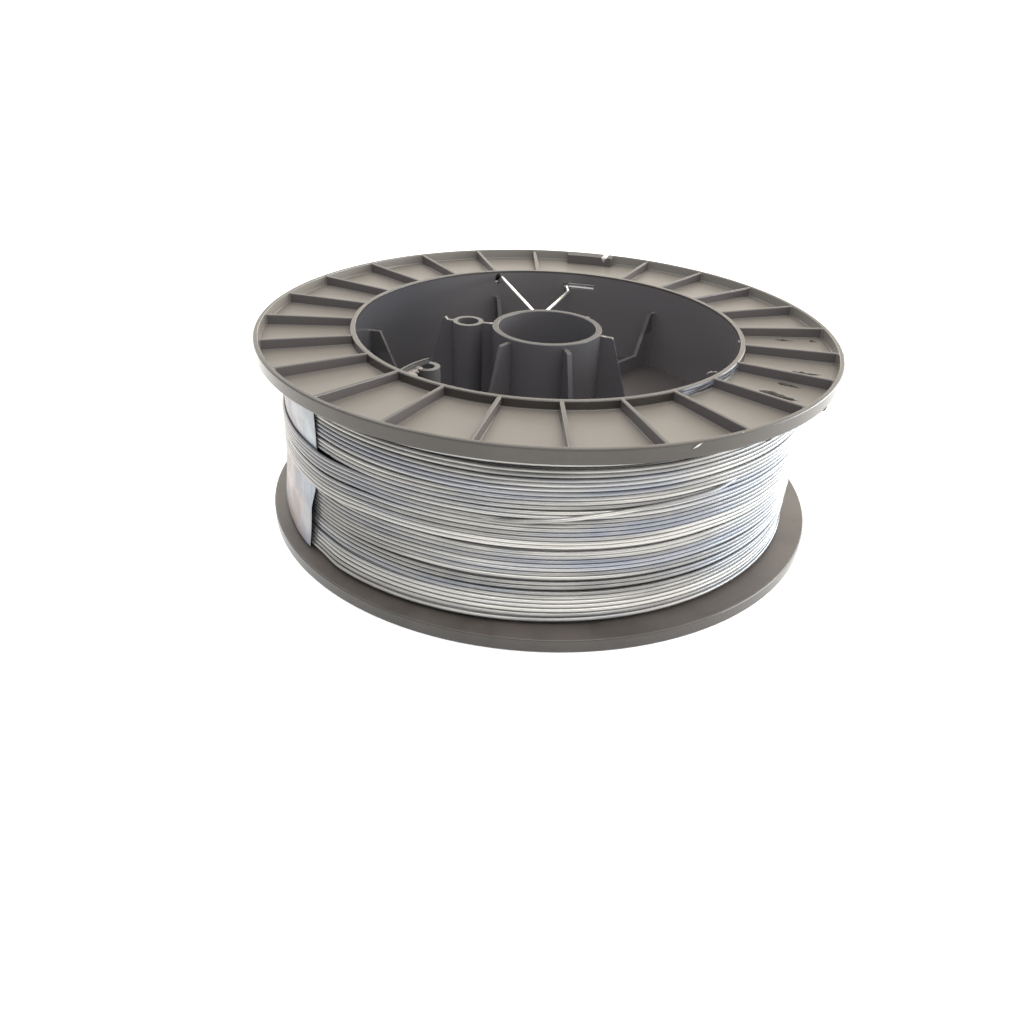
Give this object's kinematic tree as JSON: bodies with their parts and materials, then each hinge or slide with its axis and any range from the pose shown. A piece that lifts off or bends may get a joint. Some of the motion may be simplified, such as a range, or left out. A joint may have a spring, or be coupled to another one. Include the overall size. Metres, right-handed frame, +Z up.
{
  "type": "coil of electric fence wire on a plastic reel",
  "caption": "Flat-lying coil of galvanised fence wire wound on a ribbed black plastic reel with an open barrel, hub bore and drive hole.",
  "frame": {"origin": "centre of the reel's underside, on the floor it lies on", "axes": "+Z up along the reel's axis, -Y towards the side the label is left of, +X to the right seen from there"},
  "size_m": [0.3, 0.3, 0.1],
  "materials": {
    "reel_plastic": "charcoal black moulded plastic, satin, scuffed",
    "galvanised_wire": "bright galvanised steel wire with slight dull patches",
    "label_paper": "blank white paper, slightly creased"
  },
  "bodies": {
    "root": {"spool": "reel_plastic", "wire_winding": "galvanised_wire", "wire_inner_end": "galvanised_wire", "label": "label_paper"}
  },
  "joints": []
}
